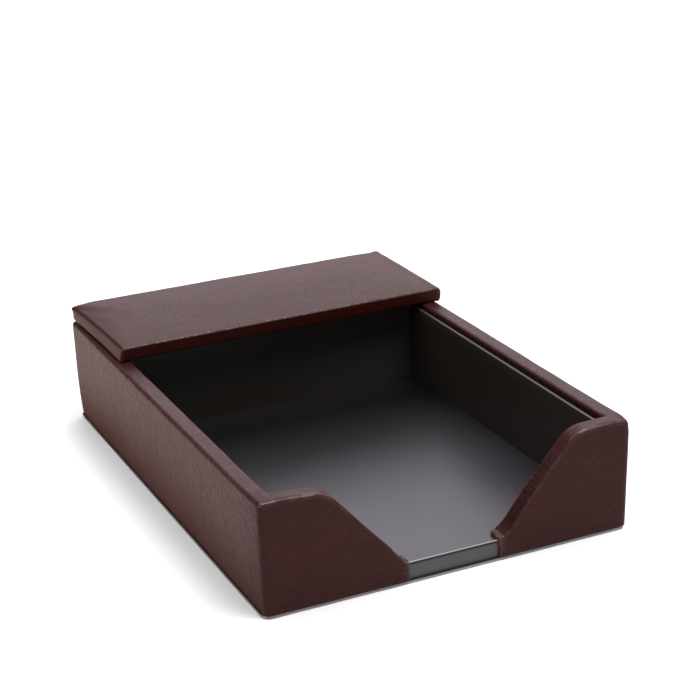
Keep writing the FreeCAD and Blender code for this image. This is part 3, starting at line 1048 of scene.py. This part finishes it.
def buildLidLining():
    low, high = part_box("lid_lining_panel")
    under = lidCover["low"].z
    piece = addBox("lidLining", (low.x, low.y, under - 1 * mm), (high.x, high.y, under + 0.1 * mm))
    pickEdges(piece, lambda edge, a, b: sharpConvex(edge) and (
        max(a.z, b.z) < under - 0.1 * mm or near(a.x, b.x) and near(a.y, b.y)))
    bevelPicked(linings["panelRound"], 3)
    sliceEvery(piece, 0, linings["step"])
    sliceEvery(piece, 1, linings["step"])
    tidyMesh(piece)
    ripple(piece, linings["rippleSize"], linings["rippleDepth"], 9.4)
    leanLid(piece)
    finishPiece(piece, "lid", wallLining, "lining", "lid_lining_panel")


buildFloorLining()
buildPanel("leftLining", "left_lining", 2.2)
buildPanel("rightLining", "right_lining", 3.3)
buildPanel("backLining", "back_lining", 4.6)
buildWingLining("frontLeftLining", "front_left_lining", -1, 5.5)
buildWingLining("frontRightLining", "front_right_lining", 1, 6.1)
buildDivider()
buildLidLining()
print("linings ready")

# leather hinge strip
hingeStrip = {"axisY": 87.2 * mm, "axisZ": caseHigh.z - 0.9 * mm, "inner": 0.9 * mm, "thick": 0.8 * mm,
              "lap": 9 * mm, "drop": 12 * mm, "bendRun": 4 * mm, "steps": (4 * mm, 0.5 * mm)}


def buildHingeStrip():
    look = hingeStrip
    low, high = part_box("lid_hinge_strip")
    inner = look["axisY"] + look["inner"]
    deselectAll()
    bpy.ops.mesh.primitive_plane_add(size=1, location=(0, inner, look["axisZ"] - look["drop"] / 2),
                                     rotation=(math.pi / 2, 0, 0))
    piece = bpy.context.object
    piece.name = "hingeStrip"
    piece.scale = (high.x - low.x, look["drop"], 1)
    bpy.ops.object.transform_apply(location=True, rotation=True, scale=True)
    pickEdges(piece, lambda edge, a, b: near(a.z, look["axisZ"]) and near(b.z, look["axisZ"]))
    bpy.ops.mesh.spin(steps=8, angle=math.pi / 2, center=(0, look["axisY"], look["axisZ"]), axis=(-1, 0, 0))
    pickEdges(piece, lambda edge, a, b: near(a.y, look["axisY"]) and near(b.y, look["axisY"])
              and a.z > look["axisZ"])
    extrudePicked((0, -look["lap"], 0))
    editPiece(piece)
    bpy.ops.mesh.select_all(action="SELECT")
    bpy.ops.mesh.remove_doubles(threshold=0.01 * mm)
    bpy.ops.mesh.normals_make_consistent(inside=False)
    for axis in (0, 1):
        sliceEvery(piece, axis, look["steps"][axis])
    thicken = piece.modifiers.new("thick", "SOLIDIFY")
    thicken.thickness = look["thick"]
    thicken.offset = 1
    applyModifier(piece, thicken)
    tidyMesh(piece)
    piece.data.materials.append(caseHide)
    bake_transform(piece, "case", "lid", start=(0, look["axisY"], look["axisZ"]),
             end=(0, look["axisY"] - look["bendRun"], look["axisZ"]))
    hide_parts("lid_hinge_strip")


buildHingeStrip()

# carried-over boards and felt
for name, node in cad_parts.items():
    if node.hide_render:
        continue
    node.data.materials.clear()
    node.data.materials.append(feltFinish if name == "base_felt" else boardFinish)

# floor, light and camera
studio = {
    "floor": {"size": 8, "paleAndHighlight": 0.88, "rough": 0.9, "specular": 0.1},
    "world": 0.3,
    "lights": {
        "overhead": {"place": (0, 0, 1.7), "size": (2.6, 2.6), "shape": "RECTANGLE", "bright": 2.0},
        "behind": {"place": (0.75, 1.25, 0.8), "size": (1.5, 1.2), "shape": "RECTANGLE", "bright": 2.5,
                   "colour": (0.955, 0.925, 0.99)},
        "key": {"place": (0.22, -0.40, 1.0), "size": (0.45, 0.45), "shape": "ELLIPSE", "bright": 11.5},
    },
}


def buildStudio():
    deselectAll()
    bpy.ops.mesh.primitive_plane_add(size=studio["floor"]["size"], location=(0, 0, 0))
    floor = bpy.context.object
    floor.name = "studioFloor"
    material, _, shader = newMaterial("paleFloor")
    paleAndHighlight = studio["floor"]["paleAndHighlight"]
    shader.inputs["Base Color"].default_value = (paleAndHighlight, paleAndHighlight, paleAndHighlight, 1)
    shader.inputs["Roughness"].default_value = studio["floor"]["rough"]
    shader.inputs["Specular IOR Level"].default_value = studio["floor"]["specular"]
    floor.data.materials.append(material)
    world = bpy.data.worlds.new("studio")
    world.use_nodes = True
    background = world.node_tree.nodes["Background"]
    background.inputs["Color"].default_value = (1, 1, 1, 1)
    background.inputs["Strength"].default_value = studio["world"]
    scene.world = world
    for name, look in studio["lights"].items():
        deselectAll()
        bpy.ops.object.light_add(type="AREA", location=look["place"])
        light = bpy.context.object
        light.name = name
        light.data.shape = look["shape"]
        light.data.size, light.data.size_y = look["size"]
        share = math.pi / 4 if look["shape"] == "ELLIPSE" else 1
        light.data.energy = look["bright"] * math.pi * share * look["size"][0] * look["size"][1]
        light.data.color = look.get("colour", (1, 1, 1))
        light.rotation_euler = Vector(look["place"]).to_track_quat("Z", "Y").to_euler()
    scene.view_settings.view_transform = "Standard"


view = {"azimuth": -23.597, "elevation": 20.434, "roll": -2.777, "distance": 0.61656, "lens": 96.13,
        "sensor": 36, "near": 0.01, "target": (8.829 * mm, -0.565 * mm, 40.287 * mm)}


def buildCamera():
    azimuth, elevation, roll = (math.radians(view[key]) for key in ("azimuth", "elevation", "roll"))
    back = Vector((math.sin(azimuth) * math.cos(elevation), -math.cos(azimuth) * math.cos(elevation),
                   math.sin(elevation)))
    right = (-back).cross(Vector((0, 0, 1))).normalized()
    up = right.cross(-back)
    across = right * math.cos(roll) + up * math.sin(roll)
    upright = up * math.cos(roll) - right * math.sin(roll)
    bpy.ops.object.camera_add()
    camera = bpy.context.object
    turn = Matrix((across, upright, back)).transposed().to_4x4()
    camera.matrix_world = Matrix.Translation(Vector(view["target"]) + back * view["distance"]) @ turn
    camera.data.lens = view["lens"]
    camera.data.sensor_width = view["sensor"]
    camera.data.clip_start = view["near"]
    scene.camera = camera


buildStudio()
buildCamera()
print("studio ready")
